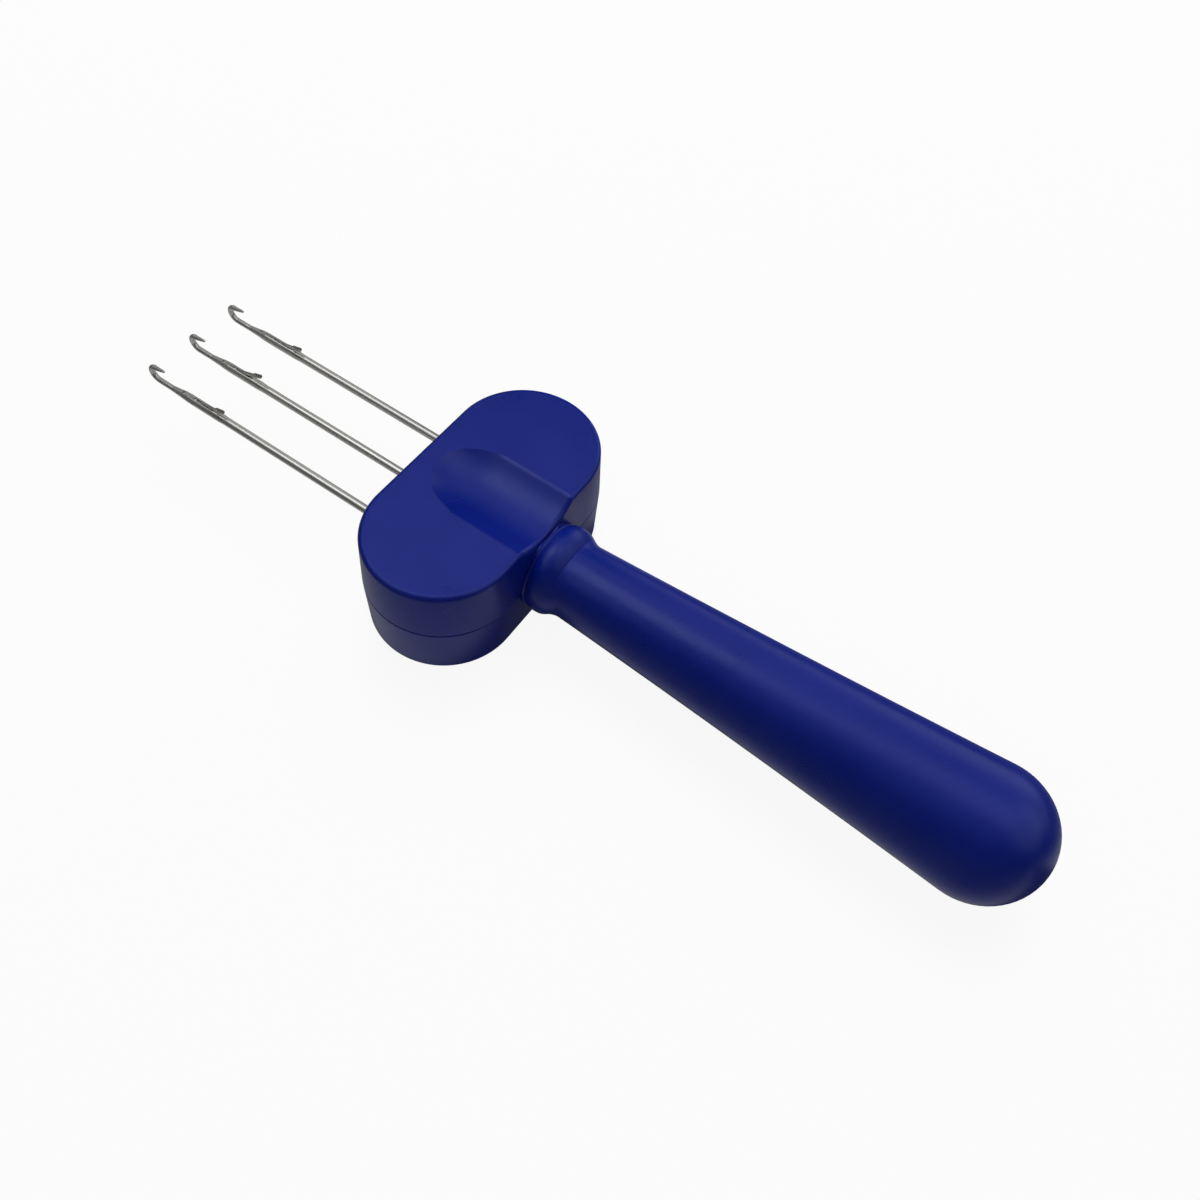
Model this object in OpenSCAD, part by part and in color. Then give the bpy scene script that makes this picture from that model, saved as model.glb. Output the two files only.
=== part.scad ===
// Latch hook tool with three needles in a two-shell head and a turned-shape handle.
// Units are millimetres. The origin is the centre of the head's flat underside,
// +X points from the handle to the needle tips and +Z points up.

/* [Head] */
// Width of the head, across the needles
head_w = 50; // [48:1:66]
// Depth of the head, from the handle side to the needle side
head_d = 27.2; // [26.6:0.2:34]
// Height of the head over both shells
head_h = 21; // [20:0.5:28]
// Wall of both shells
shell_wall = 2.2; // [1.8:0.1:2.6]
// Lean of the top shell's sides, in degrees
top_draft = 2.6; // [0.5:0.1:3]
// Lean of the bottom shell's sides, in degrees
bottom_draft = 1.2; // [0.5:0.1:3]
// Rounding of the top edge
top_edge_r = 0.9; // [0.4:0.1:1.5]
// Rounding of the bottom edge
bottom_edge_r = 0.6; // [0.3:0.1:1.5]
// Chamfer of each shell's rim, which makes the parting groove
seam_chamfer = 0.2; // [0.1:0.05:0.4]
// Height of the locating lip on the bottom shell
lip_h = 1.2; // [0.8:0.1:1.6]
// Thickness of the locating lip
lip_t = 0.8; // [0.6:0.1:1]

/* [Thumb groove] */
// Depth of the groove below the top face
groove_depth = 2.3; // [1.6:0.1:3.2]
// Width of the groove at the top face
groove_w = 14.2; // [11:0.2:18]
// Length of the straight part, from the handle side
groove_len = 13.8; // [10:0.2:15]
// Rounding of the groove's long edges
groove_lip_r = 2; // [0.4:0.1:2.4]
// Height above the top face of the point that the round end turns about
groove_end_rise = 18; // [10:1:22]
// Material left under the groove
groove_floor = 1.6; // [1.2:0.1:2]

/* [Needles] */
// Distance between needles
needle_pitch = 10; // [9.5:0.5:11]
// Diameter of the needle's wire
wire_d = 1.6; // [1.4:0.05:1.8]
// Reach of the hooks beyond the head
needle_reach = 56.4; // [45:0.2:75]
// Diameter of the wire in the hook
hook_wire_d = 1.06; // [0.9:0.02:1.2]
// Bend radius of the hook, to the wire's centre
hook_bend_r = 1.55; // [1.4:0.05:1.9]
// Turn of the bend, in degrees
hook_turn = 168; // [160:1:172]
// Length of the hook's point behind the bend
hook_point_len = 2.5; // [2.3:0.1:2.9]
// Diameter at the end of the point
hook_point_d = 0.5; // [0.4:0.02:0.6]
// Length of the narrow throat below the hook
throat_len = 3.4; // [2.8:0.1:5]
// Length of the slope from the cheeks to the throat
throat_slope = 3; // [2:0.1:4]
// Diameter of the wire at the slotted cheeks
cheek_d = 1.76; // [1.6:0.02:1.9]
// Inside radius of the bend at the butt, to the wire's centre
butt_bend_r = 1.8; // [1.4:0.1:2.2]
// Length of the butt below the bend
butt_len = 4; // [3:0.1:4.6]
// Distance of the butt behind the head's middle
butt_back = -0.6; // [-1.2:0.1:0]

/* [Latches] */
// Length of a latch from its rivet to the spoon's end
latch_len = 8; // [7.8:0.1:8.4]
// Thickness of the latch blade
blade_t = 0.4; // [0.3:0.02:0.44]
// Height of the latch blade at the rivet
blade_h = 0.64; // [0.5:0.02:0.8]
// Height of the latch blade at the spoon
blade_end_h = 0.46; // [0.3:0.02:0.6]
// Radius of the latch's eye
eye_r = 0.52; // [0.45:0.01:0.6]
// Length of the spoon
spoon_len = 2.6; // [2:0.1:3]
// Width of the spoon
spoon_w = 0.9; // [0.84:0.02:1.2]
// Height of the spoon
spoon_h = 0.5; // [0.44:0.02:0.6]
// Lean of an open latch above the stem, in degrees
latch_open = 14; // [13:0.5:18]
// Extra lean of the middle latch as it stands, in degrees
middle_lift = 6.5; // [0:0.5:12]
// Diameter of the latch rivet
rivet_d = 0.5; // [0.4:0.02:0.6]
// Radial clearance of the latch on its rivet
rivet_gap = 0.02; // [0.01:0.01:0.05]
// Clearance on each side of the latch in its slot
slot_gap = 0.07; // [0.05:0.01:0.1]

/* [Handle] */
// Distance from the head to the middle of the round end
handle_len = 81; // [60:1:110]
// Radius of the round end
end_r = 11.25; // [9:0.25:13]
// Radius of the collar's foot against the head
collar_r = 7.9; // [7.4:0.1:8.6]
// Thickness of the collar's foot
collar_lip = 0.3; // [0.2:0.1:0.8]
// Radius of the collar at its widest
collar_bulge_r = 8.2; // [8:0.05:8.8]
// Rounding of the collar's bulge, along the handle
collar_round = 3.5; // [3.2:0.1:4.5]
// Length of the collar and the flare after it
neck_len = 5.6; // [5:0.1:6.4]
// Length of the flare between the collar and the crisp edge
flare_len = 1.8; // [1.2:0.1:2.2]
// Fullness of the flare at its middle
flare_swell = 0.4; // [0.2:0.05:0.6]
// Radius of the crisp edge where the neck ends
neck_edge_r = 6.85; // [6.4:0.05:7.1]
// Hollow of the handle's sides at mid length
handle_sag = 0.24; // [0:0.02:0.5]

/* [Needle clamp] */
// Size of the needle bed along X
bed_d = 12; // [11:0.2:12.2]
// Gap between each end of the needle bed and the boss beside it
bed_end_gap = 1.2; // [0.7:0.1:1.7]
// Thickness of the clamp plate
plate_t = 1.6; // [1:0.1:1.6]
// Size of the clamp plate along X
plate_d = 9.6; // [8:0.2:10]
// Size of the clamp plate along Y
plate_w = 27; // [26:0.5:29]
// Gap between the bed and the clamp plate
clamp_gap = 0.2; // [0.1:0.05:0.3]
// Distance between the two clamp screws
clamp_pitch = 10; // [9.5:0.5:11]
// Thread diameter of the clamp screws
clamp_screw_d = 2.5; // [2:0.1:3]
// Depth of the clamp screws in the bed
clamp_grip = 6; // [4:0.5:6]

/* [Fasteners] */
// Distance of each shell screw from the head's end
shell_screw_inset = 6; // [5.4:0.2:7]
// Thread diameter of the shell screws
shell_screw_d = 2.6; // [2.2:0.1:3]
// Length of the shell screws under the head
shell_screw_len = 12; // [10:0.5:13]
// Depth of the shell screws' sockets
shell_socket = 3; // [2.2:0.1:4]
// Thread diameter of the handle screw
handle_screw_d = 4; // [3:0.5:4]
// Length of the handle screw under its head
handle_screw_len = 20; // [16:1:22]
// Length of the threaded insert
insert_len = 10; // [6:0.5:11]
// Diameter of the threaded insert
insert_d = 6; // [5.4:0.1:7]
// Thickness of the plain washer
washer_t = 0.8; // [0.5:0.1:1]
// Thickness of the spring washer
spring_washer_t = 0.9; // [0.7:0.1:1.1]
// Clearance round parts that slide together
fit_gap = 0.05; // [0.02:0.01:0.1]

/* [Hidden] */
$fn = 64;

blue = "#22307c";
steel = "#b9b9b6";
dark_steel = "#8f8f8c";
zinc = "#c3c6c9";
brass = "#b99a4c";
natural = "#e4e2d8";

eps = 0.01;
big = 200;

// The parting plane holds the needles and the handle's axis
axis_z = head_h / 2;
half_h = head_h / 2;
end_radius = head_d / 2;
end_shift = (head_w - head_d) / 2;
inner_r = end_radius - shell_wall;

// Circle that makes the thumb groove's section
groove_r = pow(groove_w / 2, 2) / (2 * groove_depth) + groove_depth / 2;
groove_drop = groove_r - groove_depth;
lip_centre = sqrt(pow(groove_r + groove_lip_r, 2) - pow(groove_drop + groove_lip_r, 2));
lip_meet = groove_r / (groove_r + groove_lip_r);

// Each round form of a needle starts a little way inside the one before it
bury = 0.15;
shy = 0.02;

// Places along a needle, from the hook back
wire_r = wire_d / 2;
hook_r = hook_wire_d / 2;
bend_x = end_radius + needle_reach - hook_r - hook_bend_r;
throat_z = hook_r - wire_r;
throat_x = bend_x - throat_len;
cheek_front = throat_x - throat_slope;
point_angle = hook_turn - 90;
point_lean = 180 - hook_turn;
point_start = [bend_x + hook_bend_r * cos(point_angle),
    throat_z + hook_bend_r * (1 + sin(point_angle))];
point_end = point_start + hook_point_len * [-cos(point_lean), sin(point_lean)];
rivet_front = 2.6;
rivet_x = cheek_front - rivet_front;
rivet_z = 0.1;
cheek_back = 6.4;
cheek_start = rivet_x - cheek_back;
cheek_taper = 1.2;
butt_x = -butt_back;

// Slot that the latch lies and swings in
slot_w = blade_t + 2 * slot_gap;
slot_back = 4.6;
slot_floor = -0.5;
slot_flat = 1;
slot_front = 2.9;
slot_front_z = 0.35;

// Latch spoon: its trough cups the hook's point when the latch is shut
trough_r = hook_point_d / 2 + 0.05;
spoon_top = blade_end_h / 2;
spoon_start = latch_len - spoon_len;

// Handle screw, washers and their seat inside the head
saddle_t = 2.8;
saddle_w = 12;
saddle_x = -inner_r + saddle_t;
washer_x = saddle_x + washer_t;
spring_washer_x = washer_x + spring_washer_t;
handle_head_h = handle_screw_d;
handle_head_r = handle_screw_d * 0.875;
insert_inset = 1;

// Needle bed and clamp plate
bed_back = -2.2;
bed_top = axis_z + wire_r - clamp_gap;
plate_back = 0;
plate_z = axis_z + wire_r;
clamp_x = 5;
clamp_head_h = 1.5;
clamp_head_r = clamp_screw_d * 0.9;
peg_r = 1.5;
peg_h = 3;
peg_x = 4;
peg_y = 9.5;

// Shell screws and their bosses
shell_head_r = shell_screw_d * 0.96;
shell_head_h = 1.8;
shell_screw_y = head_w / 2 - shell_screw_inset;
boss_r = 3.8;
bed_w = 2 * (shell_screw_y - boss_r - bed_end_gap);
top_boss_r = shell_screw_inset - shell_wall - lip_t - 2 * fit_gap;

// Points on an arc, from one angle to another
function arc(centre, radius, from, to, steps) =
    [for (i = [0 : steps])
        let (angle = from + (to - from) * i / steps)
        centre + radius * [cos(angle), sin(angle)]];

// Outline of one shell from its middle to its side, standing on the parting plane
module shell_outline(draft, edge) {
    centre = [end_radius - (edge + sin(draft) * (half_h - edge)) / cos(draft),
        half_h - edge];
    polygon(concat([[0, 0], [end_radius - seam_chamfer, 0],
        [end_radius - seam_chamfer * tan(draft), seam_chamfer]],
        arc(centre, edge, draft, 90, 8), [[0, half_h]]));
}

// Outline of the hollow in a shell
module hollow_outline(draft) {
    roof = half_h - shell_wall;
    polygon([[0, -eps], [inner_r, -eps], [inner_r - roof * tan(draft), roof], [0, roof]]);
}

// Turns an outline into a body with straight sides and round ends
module stadium() {
    for (side = [-1, 1])
        translate([0, side * end_shift, 0])
            rotate_extrude()
                children();
    rotate([90, 0, 0])
        linear_extrude(2 * end_shift, center = true) {
            children();
            mirror([1, 0])
                children();
        }
}

// Turns the section of a rim into a rim with straight sides and round ends
module rim() {
    for (turn = [0, 180])
        rotate(turn) {
            translate([0, end_shift, 0])
                rotate_extrude(angle = 180)
                    children();
            rotate([90, 0, 0])
                linear_extrude(2 * end_shift, center = true)
                    children();
        }
}

// Section of the thumb groove, with its chord on the top face; y runs down
module groove_section(radius, depth) {
    intersection() {
        translate([0, depth - radius])
            circle(r = radius, $fn = 96);
        translate([-big / 2, 0])
            square([big, depth + 1]);
    }
}

// Rounded lips beside the groove: the strip that the rounding takes away
module groove_lips() {
    meet = [lip_centre * lip_meet, groove_r * (groove_drop + groove_lip_r)
        / (groove_r + groove_lip_r) - groove_drop];
    for (side = [0, 1])
        mirror([side, 0])
            difference() {
                polygon([[0, 0], [lip_centre, 0], [lip_centre, groove_lip_r / 4], meet,
                    [0, meet[1]]]);
                translate([lip_centre, groove_lip_r])
                    circle(r = groove_lip_r);
            }
}

// The groove as a cutter: a straight run with a round end under the top face
module groove_cut(radius, depth, lips) {
    start = -end_radius - 2;
    stop = groove_len - end_radius;
    half_w = lips ? lip_centre : groove_w / 2;
    translate([start, 0, head_h])
        rotate([90, 0, 90])
            linear_extrude(stop - start)
                mirror([0, 1]) {
                    groove_section(radius, depth);
                    if (lips)
                        groove_lips();
                }
    translate([start, -half_w, head_h - eps])
        cube([stop - start, 2 * half_w, 1]);
    translate([stop, 0, head_h + groove_end_rise])
        rotate([90, 0, 0])
            rotate_extrude()
                translate([groove_end_rise, 0])
                    rotate(-90) {
                        groove_section(radius, depth);
                        if (lips)
                            groove_lips();
                        translate([-half_w, -1])
                            square([2 * half_w, 1 + eps]);
                    }
}

// Cutter that rounds the groove's rim over the handle, about the groove's axis
module groove_rim() {
    wall_lean = tan(top_draft) * (half_h - groove_depth * 0.8);
    translate([wall_lean + top_edge_r - end_radius, 0, head_h + groove_drop])
        rotate([0, 90, 0])
            rotate_extrude($fn = 96)
                polygon(concat([[groove_r - 1, 0]],
                    arc([groove_r + top_edge_r - eps, 0], top_edge_r, 180, 270, 8),
                    [[groove_r + top_edge_r - eps, -top_edge_r - 1],
                    [groove_r - 1, -top_edge_r - 1]]));
}

// Half of the seat that the handle's collar stands on, in the leaning wall
module collar_seat() {
    translate([-end_radius, 0, 0])
        rotate([0, 90, 0])
            cylinder(r = collar_r, h = shell_wall);
}

// Channels through the parting plane for the needles and the handle screw
module parting_channels() {
    for (row = [-1, 0, 1])
        translate([0, row * needle_pitch, 0])
            rotate([0, 90, 0])
                cylinder(r = wire_r + fit_gap, h = end_radius + 1);
    translate([-end_radius - 1, 0, 0])
        rotate([0, 90, 0])
            cylinder(r = handle_screw_d / 2 + fit_gap, h = end_radius);
}

// Block behind the back wall that the washers press on
module saddle(height) {
    translate([-inner_r - eps, -saddle_w / 2, 0])
        cube([saddle_t + eps, saddle_w, height]);
}

module head_bottom_shell() {
    color(blue)
        difference() {
            union() {
                difference() {
                    translate([0, 0, axis_z])
                        mirror([0, 0, 1])
                            stadium()
                                shell_outline(bottom_draft, bottom_edge_r);
                    translate([0, 0, axis_z])
                        mirror([0, 0, 1])
                            stadium()
                                hollow_outline(bottom_draft);
                }
                bottom_shell_lip();
                intersection() {
                    translate([0, 0, axis_z])
                        collar_seat();
                    translate([-big / 2, -big / 2, axis_z - collar_r - 1])
                        cube([big, big, collar_r + 1]);
                }
                translate([0, 0, shell_wall - eps])
                    saddle(axis_z - shell_wall + eps);
                for (side = [-1, 1]) {
                    translate([0, side * shell_screw_y, shell_wall - eps])
                        cylinder(r = boss_r, h = axis_z - shell_wall + eps);
                    translate([peg_x, side * peg_y, shell_wall - eps])
                        cylinder(r = peg_r, h = peg_h + eps);
                }
            }
            for (side = [-1, 1])
                translate([0, side * shell_screw_y, -1]) {
                    cylinder(r = shell_screw_d / 2 + 2 * fit_gap, h = big);
                    cylinder(r = shell_head_r + 0.3, h = shell_socket + 1);
                }
            translate([0, 0, axis_z])
                parting_channels();
        }
}

// Thin rim that centres the top shell
module bottom_shell_lip() {
    outer = inner_r - fit_gap;
    difference() {
        translate([0, 0, axis_z - lip_h])
            rim()
                polygon([[outer - lip_t, 0], [outer + 0.2, 0], [outer + 0.2, lip_h],
                    [outer, lip_h], [outer - lip_h * tan(top_draft), 2 * lip_h],
                    [outer - lip_t, 2 * lip_h]]);
        for (row = [-1, 0, 1])
            translate([0, row * needle_pitch - wire_d, axis_z])
                cube([end_radius, 2 * wire_d, big]);
        translate([-end_radius, -saddle_w / 2 - 0.5, axis_z])
            cube([end_radius, saddle_w + 1, big]);
    }
}

module head_top_shell() {
    color(blue)
        difference() {
            union() {
                difference() {
                    translate([0, 0, axis_z])
                        stadium()
                            shell_outline(top_draft, top_edge_r);
                    translate([0, 0, axis_z])
                        stadium()
                            hollow_outline(top_draft);
                }
                intersection() {
                    translate([0, 0, axis_z])
                        stadium()
                            shell_outline(top_draft, top_edge_r);
                    groove_cut(groove_r + groove_floor, groove_depth + groove_floor, false);
                }
                intersection() {
                    translate([0, 0, axis_z])
                        collar_seat();
                    translate([-big / 2, -big / 2, axis_z])
                        cube([big, big, collar_r + 1]);
                }
                translate([0, 0, axis_z])
                    saddle(half_h - shell_wall + eps);
                for (side = [-1, 1]) {
                    translate([0, side * shell_screw_y, axis_z])
                        cylinder(r = top_boss_r, h = half_h - shell_wall + eps);
                    translate([plate_back + 1, side * (plate_w / 2 - 1.5) - 0.75,
                        plate_z + plate_t])
                        cube([plate_d - 2, 1.5, head_h - shell_wall - plate_z - plate_t + eps]);
                }
            }
            groove_cut(groove_r, groove_depth, true);
            groove_rim();
            for (side = [-1, 1])
                translate([0, side * shell_screw_y, axis_z - eps])
                    cylinder(r = shell_screw_d / 2,
                        h = shell_socket + shell_screw_len - axis_z + 0.5);
            translate([0, 0, axis_z])
                parting_channels();
        }
}

// Pan-head screw, tip down, with its head's underside at the origin
module pan_screw(thread_r, length, head_r, head_h, recess) {
    difference() {
        union() {
            translate([0, 0, -length + thread_r])
                cylinder(r = thread_r, h = length - thread_r);
            translate([0, 0, -length])
                cylinder(r1 = thread_r * 0.3, r2 = thread_r, h = thread_r);
            rotate_extrude()
                pan_head_outline(head_r, head_h);
        }
        for (turn = [0, 90])
            translate([0, 0, head_h])
                rotate(turn)
                    cube([recess * 2, recess * 0.45, recess * 1.2], center = true);
    }
}

// Half outline of a pan head, with a rounded rim
module pan_head_outline(head_r, head_h) {
    rim = head_h * 0.45;
    square([head_r - rim, head_h]);
    square([head_r, head_h - rim]);
    translate([head_r - rim, head_h - rim])
        intersection() {
            circle(r = rim);
            square(rim);
        }
}

module shell_screws() {
    color(zinc)
        for (side = [-1, 1])
            translate([0, side * shell_screw_y, shell_socket])
                rotate([180, 0, 0])
                    pan_screw(shell_screw_d / 2, shell_screw_len, shell_head_r,
                        shell_head_h, shell_head_r * 0.55);
}

module needle_bed() {
    color(natural)
        difference() {
            translate([bed_back, -bed_w / 2, shell_wall])
                cube([bed_d, bed_w, bed_top - shell_wall]);
            for (row = [-1, 0, 1])
                translate([0, row * needle_pitch, axis_z]) {
                    translate([butt_x, 0, 0])
                        rotate([0, 90, 0])
                            cylinder(r = wire_r + fit_gap, h = big);
                    translate([butt_x, -wire_r - fit_gap, 0])
                        cube([big, wire_d + 2 * fit_gap, big]);
                    translate([butt_x - wire_r - fit_gap, -wire_r - fit_gap,
                        -butt_bend_r - wire_r])
                        cube([butt_bend_r + wire_d, wire_d + 2 * fit_gap, big]);
                    translate([butt_x, 0, -butt_bend_r - butt_len - fit_gap])
                        cylinder(r = wire_r + fit_gap, h = big);
                }
            for (side = [-1, 1]) {
                translate([clamp_x, side * clamp_pitch / 2, bed_top - clamp_grip])
                    cylinder(r = clamp_screw_d / 2, h = big);
                translate([peg_x, side * peg_y, shell_wall - eps])
                    cylinder(r = peg_r + fit_gap, h = peg_h + 2 * fit_gap);
            }
        }
}

module clamp_plate() {
    color(zinc)
        difference() {
            translate([plate_back, -plate_w / 2, plate_z])
                cube([plate_d, plate_w, plate_t]);
            for (side = [-1, 1])
                translate([clamp_x, side * clamp_pitch / 2, plate_z - 1])
                    cylinder(r = clamp_screw_d / 2 + 2 * fit_gap, h = plate_t + 2);
        }
}

module clamp_screws() {
    length = plate_t + clamp_gap + clamp_grip - 0.5;
    color(zinc)
        for (side = [-1, 1])
            translate([clamp_x, side * clamp_pitch / 2, plate_z + plate_t])
                pan_screw(clamp_screw_d / 2, length, clamp_head_r, clamp_head_h,
                    clamp_head_r * 0.5);
}

// Cylinder along +X from one place to another
module rod(from, to, radius) {
    translate([from, 0, 0])
        rotate([0, 90, 0])
            cylinder(r = radius, h = to - from);
}

// Cone along +X from one place to another
module cone(from, to, radius_from, radius_to) {
    translate([from, 0, 0])
        rotate([0, 90, 0])
            cylinder(r1 = radius_from, r2 = radius_to, h = to - from);
}

// Rod with round ends, along +X
module capsule(length, radius) {
    rotate([0, 90, 0])
        rotate_extrude()
            polygon(concat(arc([0, radius], radius, -90, 0, 6),
                arc([0, length - radius], radius, 0, 90, 6)));
}

// One needle with its axis on X
module needle() {
    cheek_r = cheek_d / 2;
    back_lean = atan((wire_r - hook_r) / throat_slope);
    color(steel)
        difference() {
            union() {
                translate([butt_x, 0, -butt_bend_r - butt_len])
                    cylinder(r = wire_r, h = butt_len);
                translate([butt_x + butt_bend_r, 0, -butt_bend_r])
                    rotate([90, 0, 0])
                        rotate([0, 0, 90])
                            rotate_extrude(angle = 90)
                                translate([butt_bend_r, 0])
                                    circle(r = wire_r);
                rod(butt_x + butt_bend_r, cheek_front + bury, wire_r);
                cone(cheek_start - cheek_taper, cheek_start, wire_r, cheek_r);
                rod(cheek_start, cheek_front - cheek_taper, cheek_r);
                cone(cheek_front - cheek_taper, cheek_front, cheek_r, wire_r);
                translate([cheek_front, 0, -wire_r])
                    rotate([0, back_lean, 0])
                        translate([0, 0, wire_r])
                            cone(0, throat_slope * cos(back_lean), wire_r - shy,
                                hook_r + shy);
                hook();
            }
            latch_slot();
            translate([rivet_x, 0, rivet_z])
                rotate([90, 0, 0])
                    cylinder(r = rivet_d / 2, h = 2 * cheek_d, center = true);
        }
}

// Throat, bend and point of the hook
module hook() {
    translate([0, 0, throat_z])
        rod(throat_x - bury, bend_x, hook_r);
    translate([bend_x, 0, throat_z + hook_bend_r])
        rotate([90, 0, 0])
            rotate([0, 0, -90])
                rotate_extrude(angle = hook_turn)
                    translate([hook_bend_r, 0])
                        circle(r = hook_r);
    translate([point_start[0], 0, point_start[1]])
        rotate([0, point_lean - 90, 0])
            rotate_extrude()
                polygon(concat([[0, -bury], [hook_r - shy, -bury]],
                    arc([0, hook_point_len], hook_point_d / 2, 0, 90, 6)));
}

// The slot, seen from the side: it rises to the stem's top behind the rivet
module latch_slot() {
    top = 3 * wire_d;
    translate([rivet_x, 0, 0])
        rotate([90, 0, 0])
            linear_extrude(slot_w, center = true)
                polygon([[-slot_back * 1.4, wire_r + 0.4 * (wire_r - slot_floor)
                    * slot_back / (slot_back - slot_flat)],
                    [-slot_flat, slot_floor], [slot_flat, slot_floor],
                    [slot_front, slot_front_z], [slot_front, top], [-slot_back * 1.4, top]]);
}

// One latch as it lies open, turned up by lift
module latch(lift) {
    color(dark_steel)
        translate([rivet_x, 0, rivet_z])
            rotate([0, latch_open + lift, 0])
                difference() {
                    union() {
                        rotate([90, 0, 0])
                            linear_extrude(blade_t, center = true) {
                                circle(r = eye_r);
                                polygon([[0, blade_h / 2], [0, -blade_h / 2],
                                    [-spoon_start - 0.6, -blade_end_h / 2],
                                    [-spoon_start - 0.6, blade_end_h / 2]]);
                            }
                        difference() {
                            translate([-latch_len, 0, spoon_top - spoon_h + spoon_w / 2])
                                capsule(spoon_len, spoon_w / 2);
                            translate([-big / 2, -big / 2, spoon_top])
                                cube(big);
                        }
                    }
                    rotate([90, 0, 0])
                        cylinder(r = rivet_d / 2 + rivet_gap, h = 2, center = true);
                    translate([-latch_len - 1, 0, spoon_top])
                        rotate([0, 90, 0])
                            cylinder(r = trough_r, h = spoon_len + 0.8);
                }
}

// One latch rivet, peened flush with the cheeks
module rivet() {
    color(dark_steel)
        intersection() {
            translate([rivet_x, 0, rivet_z])
                rotate([90, 0, 0])
                    cylinder(r = rivet_d / 2, h = 2 * cheek_d, center = true);
            rod(cheek_start, cheek_front, cheek_d / 2);
        }
}

// Puts a needle's parts on their row: 1 is left, 0 the middle and -1 right
module on_row(row) {
    translate([0, row * needle_pitch, axis_z])
        children();
}

module needle_left() { on_row(1) needle(); }
module needle_middle() { on_row(0) needle(); }
module needle_right() { on_row(-1) needle(); }
module rivet_left() { on_row(1) rivet(); }
module rivet_middle() { on_row(0) rivet(); }
module rivet_right() { on_row(-1) rivet(); }
module latch_left() { on_row(1) latch(0); }
module latch_middle() { on_row(0) latch(middle_lift); }
module latch_right() { on_row(-1) latch(0); }

// Point on a smooth bend that leaves one point and reaches another by way of a middle
function bend(from, middle, to, t) =
    (1 - t) * (1 - t) * from + 2 * t * (1 - t) * middle + t * t * to;

// Side of the handle, from the neck's edge to where the round end takes over
function taper_point(t) =
    let (from = [neck_len, neck_edge_r])
    let (reach = [handle_len, 0] - from)
    let (lean = atan2(reach[1], reach[0]) + asin(end_r / norm(reach))
        + atan(4 * handle_sag / norm(reach)))
    let (to = [handle_len - end_r * sin(lean), end_r * cos(lean)])
    let (middle = to - norm(to - from) / 2 * [cos(lean), sin(lean)])
    bend(from, middle, to, t);

// Half outline of the handle, radius against length
module handle_outline() {
    steps = 16;
    joint = taper_point(1);
    end_from = atan2(joint[1], joint[0] - handle_len);
    bulge = [neck_len * 0.4, collar_bulge_r - collar_round];
    bulge_from = acos((collar_lip - bulge[0]) / collar_round);
    bulge_to = acos((neck_len - flare_len - bulge[0]) / collar_round);
    flare_from = bulge + collar_round * [cos(bulge_to), sin(bulge_to)];
    flare_middle = [neck_len - flare_len * 0.55, neck_edge_r + flare_swell];
    flare_to = [neck_len, neck_edge_r];
    mirror([1, -1])
        polygon(concat([[0, 0], [0, collar_r], [collar_lip, collar_r]],
            arc(bulge, collar_round, bulge_from, bulge_to, 10),
            [for (i = [1 : 5]) bend(flare_from, flare_middle, flare_to, i / 5)],
            [for (i = [1 : steps - 1]) taper_point(i / steps)],
            arc([handle_len, 0], end_r, end_from, 0, steps)));
}

// Puts a body turned about Z on the handle's axis, with its foot at the head
module on_handle() {
    translate([-end_radius, 0, axis_z])
        rotate([0, -90, 0])
            children();
}

module handle() {
    screw_depth = handle_screw_len - (end_radius + spring_washer_x) + 1.5;
    color(blue)
        on_handle()
            difference() {
                rotate_extrude($fn = 96)
                    handle_outline();
                translate([0, 0, -1])
                    cylinder(r = insert_d / 2, h = insert_inset + insert_len + 1);
                translate([0, 0, -1])
                    cylinder(r = handle_screw_d / 2 + 2 * fit_gap, h = screw_depth + 1);
            }
}

module handle_insert() {
    ridge = 0.4;
    color(brass)
        on_handle()
            translate([0, 0, insert_inset])
                difference() {
                    union() {
                        cylinder(r = insert_d / 2 - ridge, h = insert_len);
                        for (step = [0 : 2])
                            translate([0, 0, step * insert_len * 0.38])
                                cylinder(r = insert_d / 2, h = insert_len * 0.24);
                    }
                    translate([0, 0, -1])
                        cylinder(r = handle_screw_d / 2, h = insert_len + 2);
                }
}

module handle_screw() {
    socket_r = handle_screw_d * 0.43;
    color(dark_steel)
        translate([spring_washer_x, 0, axis_z])
            rotate([0, 90, 0])
                difference() {
                    union() {
                        translate([0, 0, -handle_screw_len])
                            cylinder(r = handle_screw_d / 2, h = handle_screw_len);
                        cylinder(r = handle_head_r, h = handle_head_h);
                    }
                    translate([0, 0, handle_head_h / 2])
                        cylinder(r = socket_r, h = handle_head_h, $fn = 6);
                }
}

// Flat ring on the handle screw
module ring(outer_r, thickness) {
    rotate([0, 90, 0])
        difference() {
            cylinder(r = outer_r, h = thickness);
            translate([0, 0, -1])
                cylinder(r = handle_screw_d / 2 + fit_gap, h = thickness + 2);
        }
}

module handle_washer() {
    color(zinc)
        translate([saddle_x, 0, axis_z])
            ring(handle_screw_d * 1.125, washer_t);
}

module handle_spring_washer() {
    split = 0.6;
    color(dark_steel)
        translate([washer_x, 0, axis_z])
            difference() {
                ring(handle_screw_d * 0.875, spring_washer_t);
                rotate([20, 0, 0])
                    translate([-1, -split / 2, 0])
                        cube([spring_washer_t + 2, split, big]);
            }
}

head_bottom_shell();
head_top_shell();
shell_screws();
needle_bed();
clamp_plate();
clamp_screws();
needle_left();
needle_middle();
needle_right();
rivet_left();
rivet_middle();
rivet_right();
latch_left();
latch_middle();
latch_right();
handle();
handle_insert();
handle_screw();
handle_washer();
handle_spring_washer();
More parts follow.
